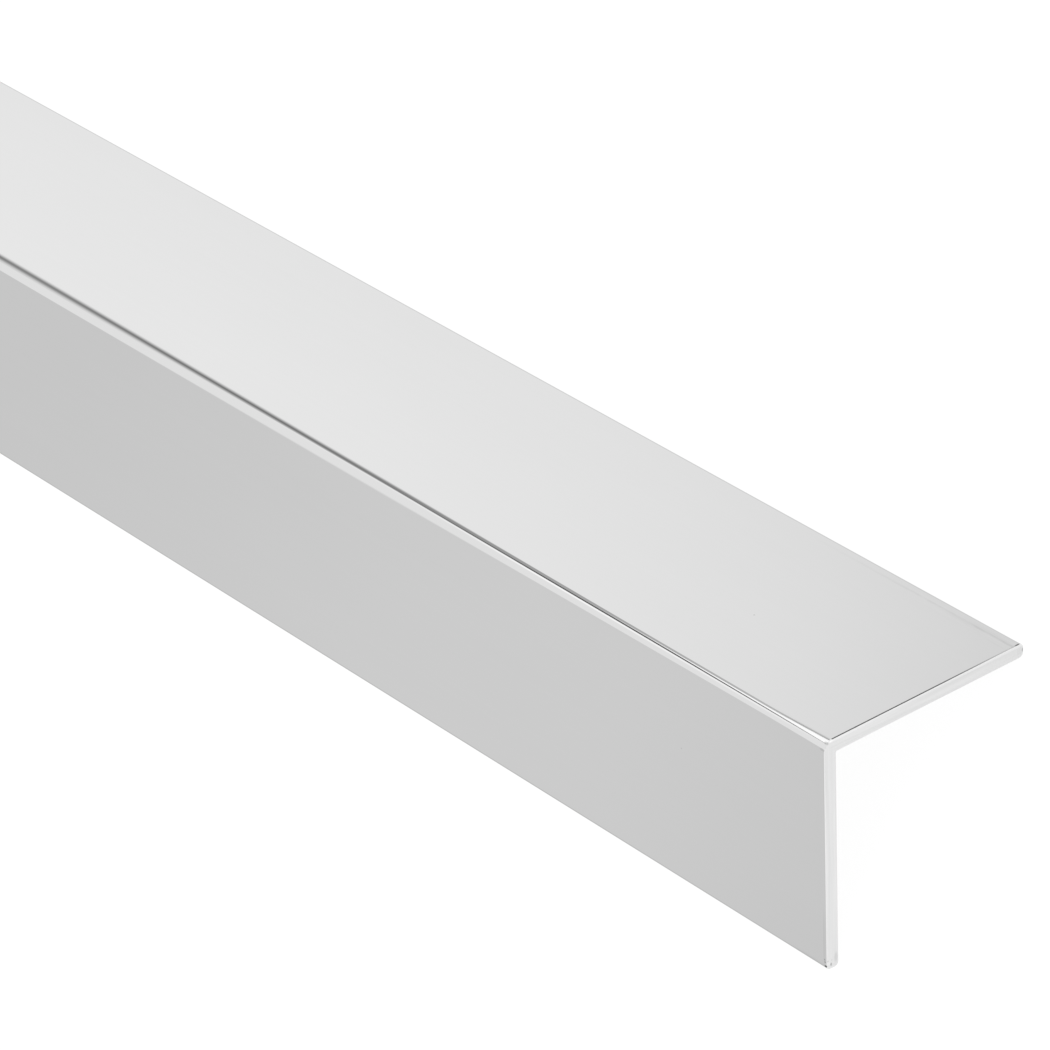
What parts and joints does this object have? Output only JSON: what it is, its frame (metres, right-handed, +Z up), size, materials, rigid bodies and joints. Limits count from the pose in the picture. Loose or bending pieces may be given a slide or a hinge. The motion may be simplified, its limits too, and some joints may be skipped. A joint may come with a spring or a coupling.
{
  "type": "metal angle section",
  "caption": "Straight bar of equal-leg aluminium angle, an L in section, for framing, brackets, edging and corner joints.",
  "frame": {"origin": "middle of the bar's length and width, on the floor it lies on", "axes": "+X along the bar, towards the sawn end nearest in the picture; +Y towards the leg that is on top in the picture; +Z up, with the outer corner on top and both leg tips on the floor"},
  "size_m": [1, 0.035, 0.018],
  "materials": {
    "bright_aluminium": "polished, with faint drawing lines along the bar and sawn ends"
  },
  "bodies": {
    "root": {"angle_bar": "bright_aluminium"}
  },
  "joints": []
}
